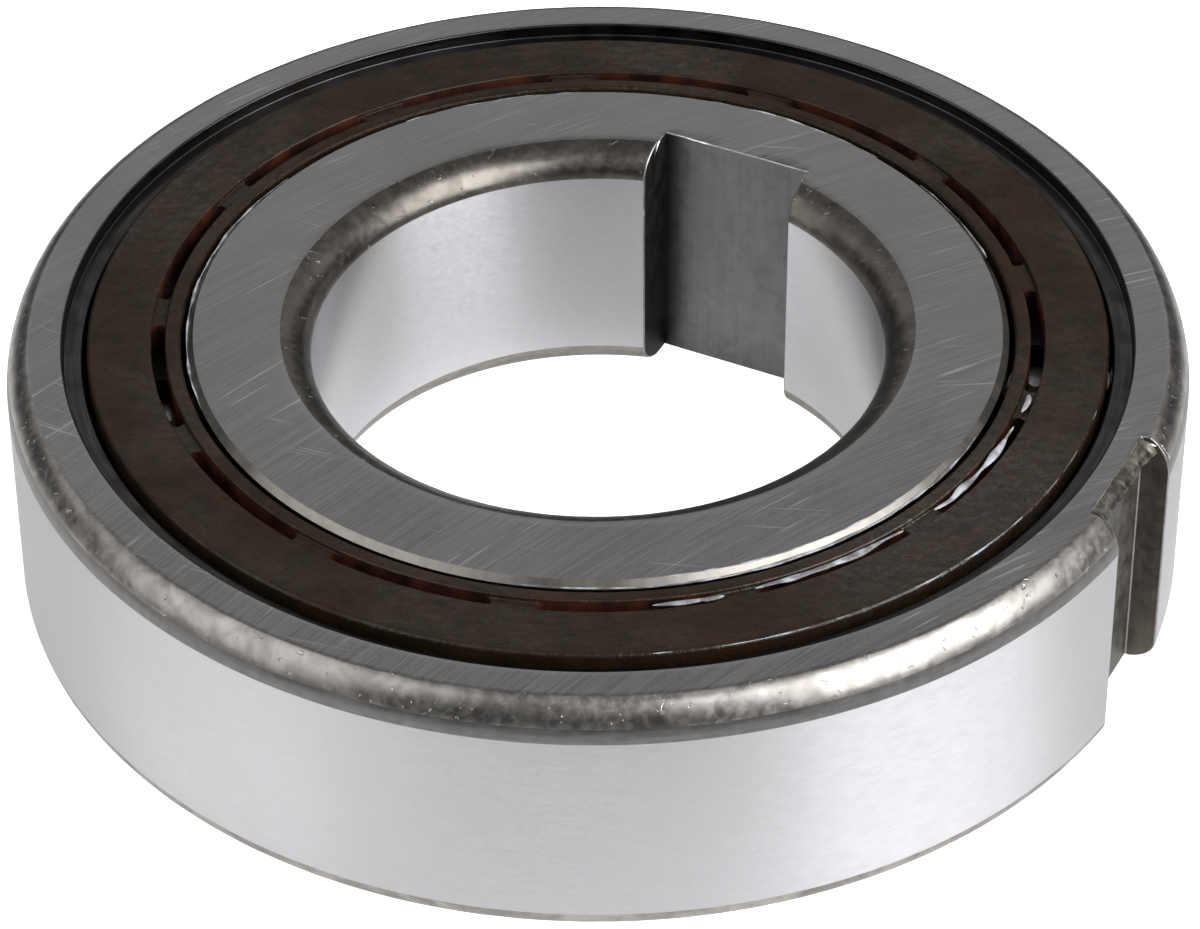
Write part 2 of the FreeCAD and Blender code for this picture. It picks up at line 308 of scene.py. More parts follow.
def corner_land(name, dark, light):
    """Smooth turned skin: the part of a corner beside its wall, and the inner ring's edges."""
    s = Shader(name)
    lines = s.noise(s.around(12.0, 5.0), 1.0, 3.0, 0.6)
    grain = s.noise(s.place, 1.5, 3.0)
    value = s.maths("MULTIPLY_ADD", grain, 0.4, s.maths("MULTIPLY", lines, 0.6))
    colour = s.tint(s.spread(value, 0.35, 0.65), dark, light)
    return s.finish(Base_Color=colour, Metallic=1.0, Roughness=s.spread(lines, 0.3, 0.7, 0.3, 0.4),
                    Normal=s.bump(lines, 0.006, 0.6))


def ground_cylinder():
    """Bore and outside: finely ground round the axis, bright and even."""
    s = Shader("ground cylinder")
    lines = s.noise(s.around(30.0, 7.0), 1.0, 4.0, 0.6)
    broad = s.noise(s.place, 0.08, 2.0)
    specks = s.spread(s.noise(s.place, 2.2, 2.0), 0.74, 0.78)
    value = s.maths("MULTIPLY_ADD", lines, 0.7, s.maths("MULTIPLY", broad, 0.3))
    colour = s.tint(s.spread(value, 0.3, 0.7), (0.585, 0.58, 0.6), (0.65, 0.645, 0.665))
    colour = s.blend(s.maths("MULTIPLY", specks, 0.35), colour, (0.4, 0.39, 0.41, 1))
    return s.finish(
        Base_Color=colour,
        Metallic=1.0,
        Roughness=s.spread(lines, 0.3, 0.7, 0.32, 0.38),
        Anisotropic=0.93,
        Anisotropic_Rotation=0.25,
        Tangent=s.add("ShaderNodeTangent", direction_type="RADIAL", axis="Z").outputs[0],
        Normal=s.bump(lines, 0.004, 0.6),
    )


def recess_painted_shade():
    """Hard turned recess in the outer ring's face, half matt, its very dark colour painted shade."""
    s = Shader("turned recess")
    lines = s.noise(s.around(5.0, 7.0), 1.0, 4.0, 0.6)
    film = s.noise(s.place, 0.5, 3.0)
    # Very dark colour: painted shade in the recess.
    colour = s.tint(s.spread(lines, 0.3, 0.7), (0.045, 0.043, 0.045), (0.085, 0.082, 0.086))
    colour = s.blend(s.spread(film, 0.5, 0.75), colour, (0.05, 0.045, 0.04, 1))
    return s.finish(Base_Color=colour, Metallic=1.0, Roughness=s.spread(film, 0.3, 0.7, 0.25, 0.4),
                    Normal=s.bump(lines, 0.006, 0.6))


def keyway_steel(name, dark, light, dim_from=None):
    """Broached keyway: matt and mottled, with lines along the cut.

    dim_from is the X of a wall beside which the colour is darkened, as painted shade.
    """
    s = Shader(name)
    x, y, z = s.parts(s.place)
    along_cut = s.join(s.maths("MULTIPLY", x, 3.0), s.maths("MULTIPLY", y, 3.0),
                       s.maths("MULTIPLY", z, 0.12))
    lines = s.noise(along_cut, 1.0, 4.0, 0.6)
    mottle = s.noise(s.place, 0.75, 4.0, 0.6, 0.4)
    grain = s.noise(s.place, 4.0, 3.0, 0.7)
    value = s.maths("MULTIPLY_ADD", mottle, 0.75, s.maths("MULTIPLY", lines, 0.25))
    colour = s.tint(s.spread(value, 0.3, 0.7), dark, light)
    if dim_from is not None:
        # Painted shade: the colour darkens towards the wall at dim_from.
        lit = s.spread(x, dim_from - 0.2, dim_from + 1.9)
        colour = s.blend(lit, (0.035, 0.034, 0.035, 1), colour)
    return s.finish(
        Base_Color=colour,
        Metallic=1.0,
        Roughness=s.spread(mottle, 0.3, 0.7, 0.42, 0.6),
        Normal=s.bump(grain, 0.02, 0.6, s.bump(lines, 0.012, 0.7)),
    )


def cage_plastic():
    """Brown moulded polymer under a film of grease, wrinkled where the film is thick."""
    s = Shader("cage plastic")
    flow = s.noise(s.around(7.0, 0.7), 1.0, 3.0)
    mottle = s.noise(s.place, 0.5, 4.0, 0.6)
    film = s.spread(s.noise(s.place, 0.09, 2.0), 0.42, 0.62)
    wet_reach = s.vector("LENGTH", s.vector("SUBTRACT", s.place, WET_CENTRE))
    wet = s.maths("MULTIPLY", s.spread(wet_reach, 5.0, 17.0, 1.0, 0.0), 0.8)
    wrinkle = s.noise(s.around(40.0, 1.6), 1.0, 4.0, 0.6, 0.9)
    grain = s.noise(s.place, 6.0, 2.0)
    colour = s.tint(s.spread(mottle, 0.3, 0.7), (0.015, 0.009, 0.0045), (0.025, 0.0155, 0.008))
    colour = s.blend(s.spread(flow, 0.5, 0.8), colour, (0.034, 0.015, 0.007, 1))
    return s.finish(
        Base_Color=colour,
        Roughness=s.spread(flow, 0.3, 0.7, 0.3, 0.42),
        Specular_IOR_Level=0.17,
        Subsurface_Weight=0.15,
        Subsurface_Radius=(1.0, 0.3, 0.15),
        Subsurface_Scale=0.4 * MM,
        Coat_Weight=s.maths("MAXIMUM", wet, s.maths("MULTIPLY", film, 0.35)),
        Coat_Roughness=0.12,
        Coat_Normal=s.bump(wrinkle, 0.2, 0.8),
        Normal=s.bump(grain, 0.006, 0.5, s.bump(wrinkle, 0.12, 0.7)),
    )


def slot_plastic():
    """The slots' walls: thin polymer through which a little red light comes."""
    s = Shader("slot wall plastic")
    mottle = s.noise(s.place, 0.5, 3.0)
    colour = s.tint(s.spread(mottle, 0.35, 0.65), (0.014, 0.006, 0.004), (0.075, 0.02, 0.01))
    return s.finish(Base_Color=colour, Roughness=0.4, Subsurface_Weight=0.3,
                    Subsurface_Radius=(1.0, 0.25, 0.1), Subsurface_Scale=0.5 * MM)


def smeared_steel():
    """The rolled lip of a burr: steel smeared smooth, with oily patches."""
    s = Shader("burr steel")
    patches = s.noise(s.place, 0.9, 3.0, 0.6, 0.5)
    grain = s.noise(s.place, 2.5, 3.0)
    colour = s.tint(s.spread(patches, 0.35, 0.65), (0.13, 0.122, 0.1), (0.36, 0.345, 0.3))
    return s.finish(Base_Color=colour, Metallic=1.0, Roughness=s.spread(grain, 0.3, 0.7, 0.3, 0.45),
                    Normal=s.bump(grain, 0.015, 0.5, s.bump(patches, 0.06, 0.5)))


def rolling_steel(name, shine, colour):
    """Smooth steel with faint marks: balls, sprags, tracks, springs and torn edges."""
    s = Shader(name)
    marks = s.noise(s.place, 1.2, 4.0, 0.6)
    bright = s.tint(s.spread(marks, 0.3, 0.7), [c * 0.8 for c in colour], colour)
    return s.finish(Base_Color=bright, Metallic=1.0,
                    Roughness=s.spread(marks, 0.3, 0.7, shine, shine + 0.12),
                    Normal=s.bump(marks, 0.004, 0.4))


def grease_material():
    """Soft white lithium grease, with a wet skin."""
    s = Shader("grease")
    lumps = s.noise(s.place, 1.6, 4.0, 0.6, 0.5)
    thin = s.spread(s.noise(s.place, 0.8, 3.0), 0.35, 0.65)
    colour = s.tint(thin, (0.3, 0.29, 0.3), (0.66, 0.68, 0.73))
    return s.finish(
        Base_Color=colour,
        Roughness=0.16,
        Transmission_Weight=s.maths("MULTIPLY_ADD", thin, -0.35, 0.45),
        IOR=1.47,
        Subsurface_Weight=0.2,
        Subsurface_Scale=0.4 * MM,
        Normal=s.bump(lumps, 0.06, 0.7),
    )


def floor_material():
    """A pale table that also glows: brightest under the bore's rim, dim far from the object."""
    s = Shader("pale floor")
    reach = s.vector("LENGTH", s.place)
    near = s.spread(reach, FLOOR_BRIGHT_REACH, FLOOR_DIM_REACH, 1.0, FLOOR_SHARE_FAR_OFF)
    side = s.vector("DOT_PRODUCT", s.place, tuple(toward(0, 0)))
    right = s.spread(side, *FLOOR_RIGHT_SPAN, FLOOR_GLOW, FLOOR_GLOW_RIGHT)
    left = s.spread(side, *FLOOR_LEFT_SPAN, FLOOR_GLOW_LEFT, right)
    glow = s.maths("MULTIPLY", left, near)
    inside = s.spread(reach, BORE_RADIUS - 2.0, BORE_RADIUS - 0.7, FLOOR_GLOW_IN_BORE,
                      FLOOR_GLOW_AT_RIM)
    glow = s.spread(reach, BORE_RADIUS, BORE_RADIUS + 3.0, inside, glow)
    tone = s.noise(s.place, 0.004, 2.0)
    colour = s.tint(tone, (0.7, 0.7, 0.705), (0.74, 0.74, 0.74))
    colour = s.blend(near, (0.08, 0.08, 0.08, 1), colour)
    seen = s.add("ShaderNodeLightPath").outputs["Is Camera Ray"]
    glow = s.spread(seen, 0.0, 1.0, glow, FLOOR_GLOW_SEEN)
    return s.finish(Base_Color=colour, Roughness=0.9, Specular_IOR_Level=0.1,
                    Emission_Color=(1.0, 1.0, 1.0, 1.0), Emission_Strength=glow)


# ---------------------------------------------------------------- mesh helpers

def new_object(name, mesh, body, *materials):
    """A piece that rides on a body."""
    thing = bpy.data.objects.new(name, mesh)
    bpy.context.scene.collection.objects.link(thing)
    for material in materials:
        thing.data.materials.append(material)
    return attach(thing, body)


def shade(thing, degrees):
    """Smooth shading that keeps flat faces flat beside small rounded edges."""
    thing.data.shade_smooth()
    thing.data.set_sharp_from_angle(angle=math.radians(degrees))
    weighted = thing.modifiers.new("flat faces stay flat", "WEIGHTED_NORMAL")
    weighted.keep_sharp = True
    return thing


def mesh_from(build, name):
    """A mesh datablock from a bmesh, with its faces turned outwards."""
    bmesh.ops.recalc_face_normals(build, faces=build.faces)
    data = bpy.data.meshes.new(name)
    build.to_mesh(data)
    build.free()
    return data


def arc(centre, size, start, end, steps):
    """Half-plane points on an ellipse, with the angles in degrees."""
    turns = [math.radians(start + (end - start) * n / steps) for n in range(steps + 1)]
    return [(centre[0] + size[0] * math.cos(t), centre[1] + size[1] * math.sin(t)) for t in turns]


def line(start, end, steps):
    """Half-plane points on a straight line."""
    return [(start[0] + (end[0] - start[0]) * n / steps, start[1] + (end[1] - start[1]) * n / steps)
            for n in range(steps + 1)]


class Outline:
    """A run of half-plane points in which every stretch belongs to a named zone."""

    def __init__(self, *stretches):
        self.points, self.zones = [], []
        for zone, points in stretches:
            for point in points:
                if self.points and math.dist(self.points[-1], point) < 1e-6:
                    continue
                if self.points:
                    self.zones.append(zone)
                self.points.append(point)

    def below(self, changed):
        """The same run reflected in the middle plane and walked backwards, some zones changed."""
        other = Outline()
        other.points = [(radius, -height) for radius, height in reversed(self.points)]
        other.zones = [changed.get(zone, zone) for zone in reversed(self.zones)]
        return other

    def then(self, other):
        joined = Outline()
        joined.points = self.points + other.points[1:]
        joined.zones = self.zones + other.zones
        return joined


# ---------------------------------------------------------------- rings

def groove_half(track, side):
    """Upper half of a ball groove, from its bottom to the edge of its track."""
    bottom = PITCH_RADIUS + side * (BALL_RADIUS + GROOVE_CLEARANCE)
    centre = bottom - side * GROOVE_RADIUS
    reach = math.degrees(math.acos(side * (track - centre) / GROOVE_RADIUS))
    return arc((centre, 0), (side * GROOVE_RADIUS, GROOVE_RADIUS), 0, reach, 10)


def corner_arc(wall, size, side):
    """A rounded corner that leaves the face at an edge and runs smoothly into the wall.

    An outside one ends in a smoother land beside the wall.
    """
    start = math.radians(CORNER_START_DEGREES)
    reach = (side * size[0] / (1 - math.cos(start)), size[1] / math.sin(start))
    centre = (wall - reach[0], HALF_WIDTH - size[1])
    foot_zone = "land" if side > 0 else "corner"
    return [("corner", arc(centre, reach, CORNER_START_DEGREES, LAND_DEGREES, 18)),
            (foot_zone, arc(centre, reach, LAND_DEGREES, 0, 8))]


def outer_ring_half(corner_size):
    """The kept run of the section and the run cut by the keyway, above the middle plane."""
    shoulder = HALF_WIDTH - RECESS_DEPTH
    lead = TRACK_LEAD
    edge = SOFT_EDGE
    split = math.hypot(OUTER_KEY_FLOOR, OUTER_KEY_HALF)
    face_edge = OUTSIDE_RADIUS - corner_size[0]
    foot = HALF_WIDTH - corner_size[1]
    groove = groove_half(OUTER_TRACK, 1)
    kept = Outline(
        ("track", groove),
        ("track", line(groove[-1], (OUTER_TRACK, shoulder - lead), 4)),
        ("recess", arc((OUTER_TRACK + lead, shoulder - lead), (lead, lead), 180, 90, 5)),
        ("recess", line((OUTER_TRACK + lead, shoulder), (RECESS_RADIUS - edge, shoulder), 3)),
        ("recess", arc((RECESS_RADIUS - edge, shoulder + edge), (edge, edge), -90, 0, 5)),
        ("recess", line((RECESS_RADIUS, shoulder + edge), (RECESS_RADIUS, HALF_WIDTH - edge), 2)),
        ("recess", arc((RECESS_RADIUS + edge, HALF_WIDTH - edge), (edge, edge), 180, 90, 5)),
        ("face", line((RECESS_RADIUS + edge, HALF_WIDTH), (split, HALF_WIDTH), 4)),
    )
    cut = Outline(
        ("face", line((split, HALF_WIDTH), (face_edge, HALF_WIDTH), 2)),
        *corner_arc(OUTSIDE_RADIUS, corner_size, 1),
        ("cylinder", line((OUTSIDE_RADIUS, foot), (OUTSIDE_RADIUS, 0), 6)),
    )
    return kept, cut


def inner_ring_half(corner_size):
    """The same for the inner ring, whose keyway opens into the bore."""
    split = math.hypot(BORE_KEY_FLOOR, BORE_KEY_HALF)
    face_edge = BORE_RADIUS + corner_size[0]
    foot = HALF_WIDTH - corner_size[1]
    groove = groove_half(INNER_TRACK, -1)
    low = (INNER_TRACK, HALF_WIDTH - TRACK_CHAMFER)
    high = (INNER_TRACK - TRACK_CHAMFER, HALF_WIDTH)
    kept = Outline(
        ("track", groove),
        ("track", line(groove[-1], low, 4)),
        ("land", line(low, high, 4)),
        ("face", line(high, (split, HALF_WIDTH), 6)),
    )
    cut = Outline(
        ("face", line((split, HALF_WIDTH), (face_edge, HALF_WIDTH), 2)),
        *corner_arc(BORE_RADIUS, corner_size, -1),
        ("cylinder", line((BORE_RADIUS, foot), (BORE_RADIUS, 0), 6)),
    )
    return kept, cut


def keyed_ring(name, upper, lower, changed, key_half, floor, key_angle, with_foot):
    """A ring swept all round, with a flat-floored keyway cut right through along Z.

    upper and lower are the halves of its section; changed renames zones on the lower side.
    """
    kept = lower[0].below(changed).then(upper[0])
    cut = upper[1].then(lower[1].below(changed))
    points = kept.points + cut.points[1:-1]
    zones = kept.zones + cut.zones
    build = bmesh.new()
    turn = Matrix.Rotation(key_angle, 3, "Z")

    def vertex(x, y, height):
        return build.verts.new(turn @ Vector((x, y, height)) * MM)

    def swept(radius, height, share):
        end = math.asin(key_half / radius)
        angle = end + (2 * math.pi - 2 * end) * share
        return vertex(radius * math.cos(angle), radius * math.sin(angle), height)

    def across_key(index, radius, height, y):
        on_floor = index in (0, len(kept.points) - 1)
        return vertex(floor if on_floor else math.sqrt(radius ** 2 - y ** 2), y, height)

    def face(corners, zone):
        build.faces.new(corners).material_index = ZONES.index(zone)

    sweep = [[swept(radius, height, step / SWEEP_STEPS) for radius, height in points]
             for step in range(SWEEP_STEPS + 1)]
    for row, following in zip(sweep, sweep[1:]):
        for index, zone in enumerate(zones):
            after = (index + 1) % len(points)
            face((row[index], following[index], following[after], row[after]), zone)

    bridge = [[across_key(index, radius, height, key_half * (2 * step / KEY_STEPS - 1))
               for index, (radius, height) in enumerate(kept.points)]
              for step in range(1, KEY_STEPS)]
    rows = [sweep[-1]] + bridge + [sweep[0]]
    last = len(kept.points) - 1
    for row, following in zip(rows, rows[1:]):
        for index, zone in enumerate(kept.zones):
            face((row[index], following[index], following[index + 1], row[index + 1]), zone)
        face((row[last], following[last], following[0], row[0]), "key_floor")
    for row in (sweep[0], sweep[-1]):
        face([row[index % len(points)] for index in range(last, len(points) + 1)], "key_wall")
    dent_corners(build)
    round_key_edges(build, with_foot)
    return mesh_from(build, name)


def dent_corners(build):
    """Small uneven hollows in the rounded corners."""
    build.normal_update()
    corner = ZONES.index("corner")
    for vertex in build.verts:
        if all(face.material_index == corner for face in vertex.link_faces):
            depth = noise.fractal(vertex.co / MM * DENT_SIZE, 0.7, 2.0, 3)
            vertex.co += vertex.normal * depth * DENT_DEPTH * MM


def round_key_edges(build, with_foot):
    """Rounds the outward edges of a keyway and, if with_foot, where its walls meet its floor."""
    bmesh.ops.recalc_face_normals(build, faces=build.faces)
    build.normal_update()
    key_zones = {ZONES.index("key_floor"), ZONES.index("key_wall")}
    sharp = [edge for edge in build.edges
             if {face.material_index for face in edge.link_faces} & key_zones
             and edge.calc_face_angle(0) > math.radians(KEY_EDGE_DEGREES)
             and (edge.is_convex or with_foot)]
    bmesh.ops.bevel(build, geom=sharp, offset=KEY_EDGE_ROUND * MM, segments=3, profile=0.5,
                    affect="EDGES", clamp_overlap=True)


# ---------------------------------------------------------------- cage

def polar(radius, angle, height=0.0):
    """A point from its radius, its angle in radians and its height."""
    return Vector((radius * math.cos(angle), radius * math.sin(angle), height))


def slot_level(spread_out, height, half_angle):
    """One closed loop of a slot's outline, moved outwards by spread_out."""
    gap = (SLOT_OUTER - SLOT_INNER) / 2 + spread_out
    end = half_angle - (SLOT_OUTER - SLOT_INNER) / 2 / SLOT_MIDDLE
    sweep = [end * (2 * step / SLOT_STEPS - 1) for step in range(SLOT_STEPS + 1)]
    cap_turns = [math.pi * step / SLOT_CAP_STEPS for step in range(1, SLOT_CAP_STEPS)]

    def cap(middle_angle, start):
        return [polar(SLOT_MIDDLE, middle_angle, height) + polar(gap, middle_angle + start + turn)
                for turn in cap_turns]

    return ([polar(SLOT_MIDDLE + gap, angle, height) for angle in sweep] + cap(end, 0)
            + [polar(SLOT_MIDDLE - gap, -angle, height) for angle in sweep] + cap(-end, math.pi))


def slot_cutters():
    """Cutters for all slots: straight below, flared into a rounded lip at the top."""
    half_angle = (PITCH_ANGLE - math.radians(SLOT_BRIDGE_DEGREES)) / 2
    levels = [(0.0, CORE_TOP - 0.5), (0.0, PLATE_TOP - SLOT_EDGE)]
    for step in range(1, SLOT_LIP_STEPS + 1):
        turn = math.pi / 2 * step / SLOT_LIP_STEPS
        levels.append((SLOT_EDGE * (1 - math.cos(turn)), PLATE_TOP - SLOT_EDGE * (1 - math.sin(turn))))
    levels.append((SLOT_EDGE * 1.3, PLATE_TOP + 0.3))
    build = bmesh.new()
    for number in range(ELEMENT_COUNT):
        turn = Matrix.Rotation(BRIDGE_ANGLE + (number + 0.5) * PITCH_ANGLE, 3, "Z")
        loops = [[build.verts.new(turn @ p * MM) for p in slot_level(out, height, half_angle)]
                 for out, height in levels]
        add_loops(build, loops)
        build.faces.new(loops[0])
        build.faces.new(loops[-1])
    return mesh_from(build, "slot cutters")


def add_loops(build, loops, closed=False):
    """Quads between neighbouring loops of vertices."""
    pairs = list(zip(loops, loops[1:])) + ([(loops[-1], loops[0])] if closed else [])
    for low, high in pairs:
        for index in range(len(low)):
            after = (index + 1) % len(low)
            build.faces.new((low[index], low[after], high[after], high[index]))


def plate_outline():
    """Section of a cage plate, with the shallow groove that the slots lie in."""
    edge = PLATE_EDGE
    lip = SLOT_EDGE
    top = PLATE_TOP
    dip = PLATE_TOP - BRIDGE_DROP
    stretches = (
        line((PLATE_INNER, CORE_TOP), (PLATE_INNER, top - edge), 2),
        arc((PLATE_INNER + edge, top - edge), (edge, edge), 180, 90, 6),
        line((PLATE_INNER + edge, top), (SLOT_INNER - lip, top), 2),
        arc((SLOT_INNER - lip, top - lip), (lip, lip), 90, 0, 4),
        arc((SLOT_INNER + lip, dip + lip), (lip, lip), 180, 270, 4),
        arc((SLOT_OUTER - lip, dip + lip), (lip, lip), 270, 360, 4),
        arc((SLOT_OUTER + lip, top - lip), (lip, lip), 180, 90, 4),
        line((SLOT_OUTER + lip, top), (PLATE_OUTER - edge, top), 12),
        arc((PLATE_OUTER - edge, top - edge), (edge, edge), 90, 0, 6),
        line((PLATE_OUTER, top - edge), (PLATE_OUTER, CORE_TOP), 3),
    )
    return Outline(*(("plate", points) for points in stretches)).points


def cage_plate(name, side, plastic, slot_wall):
    """A plate with its slots. side is 1 for the upper plate and -1 for the lower."""
    outline = plate_outline()
    steps = ELEMENT_COUNT * PLATE_STEPS_PER_SLOT
    build = bmesh.new()
    rings = []
    for step in range(steps):
        turn = Matrix.Rotation(2 * math.pi * step / steps, 3, "Z")
        rings.append([build.verts.new(turn @ Vector((r, 0, z)) * MM) for r, z in outline])
    add_loops(build, rings, closed=True)
    plate = new_object(name, mesh_from(build, name), "cage", plastic)
    cutter = bpy.data.objects.new("slot cutter", slot_cutters())
    bpy.context.scene.collection.objects.link(cutter)
    cutter.data.materials.append(slot_wall)
    cutting = plate.modifiers.new("slots", "BOOLEAN")
    cutting.object = cutter
    cutting.solver = "EXACT"
    cutting.material_mode = "TRANSFER"
    settle(plate)
    bpy.data.objects.remove(cutter)
    if side < 0:
        plate.data.transform(Matrix.Scale(-1, 4, (0, 0, 1)))
        plate.data.flip_normals()
    return shade(plate, THIN_SHARP_DEGREES)


def settle(thing):
    """Applies every modifier to the mesh."""
    bpy.context.view_layer.update()
    evaluated = thing.evaluated_get(bpy.context.evaluated_depsgraph_get())
    finished = bpy.data.meshes.new_from_object(evaluated)
    thing.modifiers.clear()
    thing.data = finished


def garter_coil(name, side, steel):
    """A garter spring as the close-wound coil that it is."""
    coil_radius = SPRING_RADIUS - WIRE_RADIUS
    wire_turns = [math.tau * n / WIRE_SIDES for n in range(WIRE_SIDES)]
    build = bmesh.new()
    loops = []
    steps = COIL_TURNS * COIL_STEPS_PER_TURN
    for step in range(steps):
        around = math.tau * step / steps
        coil = around * COIL_TURNS
        outward = Vector((math.cos(around), math.sin(around), 0))
        spoke = outward * math.cos(coil) + Vector((0, 0, math.sin(coil)))
        middle = outward * PITCH_RADIUS + spoke * coil_radius
        middle.z += side * SPRING_HEIGHT
        forward = Vector((-outward.y, outward.x, 0))
        wire = [(spoke * math.cos(turn) + forward * math.sin(turn)) * WIRE_RADIUS
                for turn in wire_turns]
        loops.append([build.verts.new((middle + offset) * MM) for offset in wire])
    add_loops(build, loops, closed=True)
    spring = new_object(name, mesh_from(build, name), "cage", steel)
    spring.data.shade_smooth()
    return spring


# ---------------------------------------------------------------- burrs and grease

def bead(name, body, material, path, size, seed, flat, rough):
    """An uneven bead along a path of points in millimetres, thinning out at both ends.

    size is the half width; flat squeezes the bead in height; rough is how much it varies.
    """
    grain = 0.55
    build = bmesh.new()
    loops = []
    shift = Vector((seed * 7.3, seed * 3.1, seed * 5.7))
    for index, point in enumerate(path):
        share = index / (len(path) - 1)
        ahead = path[min(index + 1, len(path) - 1)] - path[max(index - 1, 0)]
        across = ahead.cross(Vector((0, 0, 1))).normalized()
        over = across.cross(ahead).normalized()
        taper = min(1.0, 6 * share, 6 * (1 - share)) ** 0.5
        vary = 1 + rough * noise.noise(point * grain + shift) * 1.6
        half = max(0.02, size * taper * vary)
        drift = across * size * rough * 1.2 * noise.noise(point * grain - shift)
        loop = []
        for n in range(BEAD_SIDES):
            turn = math.tau * n / BEAD_SIDES
            lump = 1 + 0.3 * rough * noise.noise(point * 1.6 + shift * n)
            offset = across * math.cos(turn) + over * math.sin(turn) * flat
            loop.append(build.verts.new((point + drift + offset * half * lump) * MM))
        loops.append(loop)
    add_loops(build, loops)
    build.faces.new(loops[0])
    build.faces.new(loops[-1])
    thing = new_object(name, mesh_from(build, name), body, material)
    thing.data.shade_smooth()
    smooth = thing.modifiers.new("smooth", "SUBSURF")
    smooth.levels = smooth.render_levels = 1
    return thing


def round_path(radius, height, start, end):
    """Points on a circle about the axis, with the angles in degrees."""
    length = math.radians(abs(end - start)) * radius
    steps = max(6, int(length / ROUND_BEAD_SPACING))
    return [polar(radius, math.radians(start + (end - start) * n / steps), height)
            for n in range(steps + 1)]


def straight_path(start, end):
    """Points on a straight line."""
    start, end = Vector(start), Vector(end)
    steps = max(6, int((end - start).length / STRAIGHT_BEAD_SPACING))
    return [start.lerp(end, n / steps) for n in range(steps + 1)]


def bore_corner_path(side, floor, top):
    """Points down a wall of the bore keyway, from near its floor over the ring's corner."""
    steps = 24
    outer = floor - 0.3
    inner = BORE_RADIUS + BORE_CORNER[0] * 0.35
    path = []
    for step in range(steps + 1):
        share = step / steps
        drop = 1.2 * BORE_CORNER[1] * max(0.0, share - 0.35) ** 2
        path.append(Vector((side * BORE_KEY_HALF, outer - (outer - inner) * share, top - drop)))
    return path


def rolled_burr(name, body, material):
    """The lip that broaching pushed over the top of the outer keyway's floor."""
    build = bmesh.new()
    section = [(0.0, 0.03), (0.3, -0.03), (0.58, -0.15), (0.8, -0.34), (0.92, -0.56)]
    thickness = 0.1
    loops = []
    start = -OUTER_KEY_HALF + 0.1
    end = OUTER_KEY_HALF - 0.45
    flare_start = 2.2
    for step in range(BURR_STEPS + 1):
        y = start + (end - start) * step / BURR_STEPS
        far_end = max(0.0, y - flare_start) / (end - flare_start)
        ragged = noise.fractal(Vector((y * 1.3, 3.3, 0.4)), 0.7, 2.0, 3)
        reach = 1 + 0.1 * ragged + 0.25 * far_end
        lift = 0.03 * noise.noise(Vector((y * 1.2, 0.0, 8.0))) + 0.12 * far_end ** 3
        outer = [Vector((OUTER_KEY_FLOOR - 0.03 + x * reach, y, HALF_WIDTH + 0.02 + lift + z * reach))
                 for x, z in section]
        inner = [p + Vector((-thickness * 0.5, 0, -thickness)) for p in reversed(outer)]
        loops.append([build.verts.new(p * MM) for p in outer + inner])
    add_loops(build, loops)
    build.faces.new(loops[0])
    build.faces.new(loops[-1])
    return shade(new_object(name, mesh_from(build, name), body, material), THIN_SHARP_DEGREES)


# ---------------------------------------------------------------- assembly

def dress_frame():
    """Materials for every CAD node. Returns the cage's, which the plates share."""
    steel = rolling_steel("ball steel", 0.05, (0.72, 0.72, 0.73))
    sprag = rolling_steel("sprag steel", 0.25, (0.5, 0.49, 0.48))
    core = cage_plastic()
    for name, node in frame["nodes"].items():
        node.data.materials.clear()
        if name.startswith("ball_"):
            node.data.materials.append(steel)
        elif name.startswith("sprag_"):
            node.data.materials.append(sprag)
        else:
            node.data.materials.append(core)
    return core


def build_rings():
    """Both rings, which stand for the CAD rings."""
    face = ground_face()
    walls = [ground_cylinder(), recess_painted_shade(),
             rolling_steel("track steel", 0.15, (0.5, 0.5, 0.51))]
    outer_land = corner_land("corner land", (0.15, 0.147, 0.144), (0.21, 0.206, 0.202))
    inner_land = corner_land("inner ring edge", (0.22, 0.207, 0.19), (0.31, 0.292, 0.267))
    # A darker copy of the turned corner, for the corner at the bore: painted shade.
    bore_corner_painted_shade = turned_corner("bore corner", (0.125, 0.115, 0.102), (0.19, 0.177, 0.159), 0.014)
    outer_key = [keyway_steel("outer keyway floor", (0.1, 0.1, 0.085), (0.2, 0.19, 0.17)),
                 keyway_steel("outer keyway wall", (0.1, 0.085, 0.072), (0.19, 0.165, 0.145))]
    # The bore keyway's walls get a far darker copy of the keyway steel: painted shade. Its floor gets
    # painted shade beside its left wall.
    bore_key = [keyway_steel("bore keyway floor", (0.16, 0.155, 0.16), (0.28, 0.27, 0.28),
                             -BORE_KEY_HALF),
                keyway_steel("bore keyway wall", (0.03, 0.029, 0.03), (0.075, 0.073, 0.075))]
    outer = keyed_ring("outer_ring_shell", outer_ring_half(UPPER_OUTSIDE_CORNER),
                       outer_ring_half(LOWER_OUTSIDE_CORNER), {"land": "corner"},
                       OUTER_KEY_HALF, OUTER_KEY_FLOOR, 0, True)
    inner = keyed_ring("inner_ring_shell", inner_ring_half(BORE_CORNER),
                       inner_ring_half(BORE_CORNER), {"corner": "land"},
                       BORE_KEY_HALF, BORE_KEY_FLOOR, math.pi / 2, False)
    rings = (("outer_ring_shell", outer, "outer_ring", turned_corner(), outer_land, outer_key),
             ("inner_ring_shell", inner, "inner_ring", bore_corner_painted_shade, inner_land, bore_key))
    for name, data, node, corner, land, key in rings:
        shell = new_object(name, data, node, face, corner, land, *walls, *key)
        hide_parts(node)
        shade(shell, RING_SHARP_DEGREES)


def build_cage(core):
    """The cage's plates and the wound springs."""
    wall = slot_plastic()
    spring = rolling_steel("spring steel", 0.25, (0.45, 0.44, 0.42))
    for side, word in ((1, "upper"), (-1, "lower")):
        plate = cage_plate(f"cage_face_{word}", side, core, wall)
        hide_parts(f"cage_plate_{word}")
        coil = garter_coil(f"garter_coil_{word}", side, spring)
        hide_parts(f"garter_spring_{word}")


